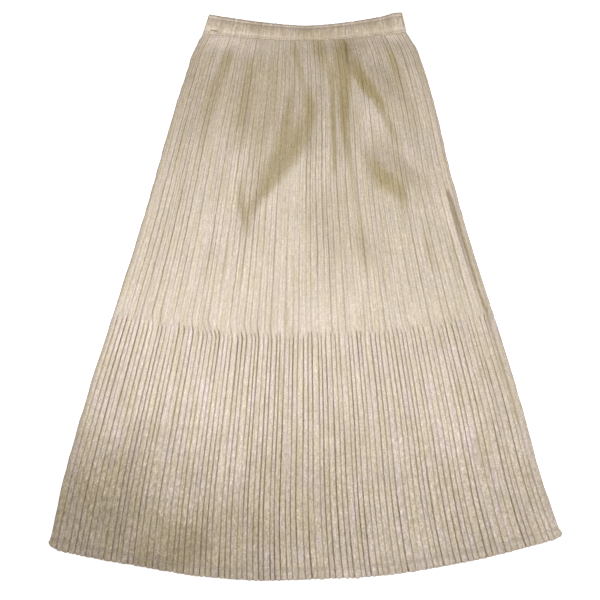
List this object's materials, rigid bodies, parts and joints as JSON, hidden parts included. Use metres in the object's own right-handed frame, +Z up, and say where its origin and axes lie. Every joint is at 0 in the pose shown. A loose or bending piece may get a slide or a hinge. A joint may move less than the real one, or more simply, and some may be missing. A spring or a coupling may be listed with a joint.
{
  "type": "pleated skirt",
  "caption": "Long flared skirt with narrow vertical pleats, a gathered elastic waistband and a curved stitched hem, lying flat.",
  "frame": {"origin": "on the surface that the skirt lies on, under the middle of its outline", "axes": "+X across the skirt to the right of someone looking down with the waist away from them, +Y from the hem to the waist, +Z up"},
  "size_m": [0.834, 0.922, 0.0128],
  "materials": {
    "pleated_cloth": "champagne satin with a fine metallic mottle",
    "waistband_cloth": "champagne satin, gathered"
  },
  "bodies": {
    "root": {"front_panel": "pleated_cloth", "back_panel": "pleated_cloth", "waistband_front": "waistband_cloth", "waistband_back": "waistband_cloth"}
  },
  "joints": []
}
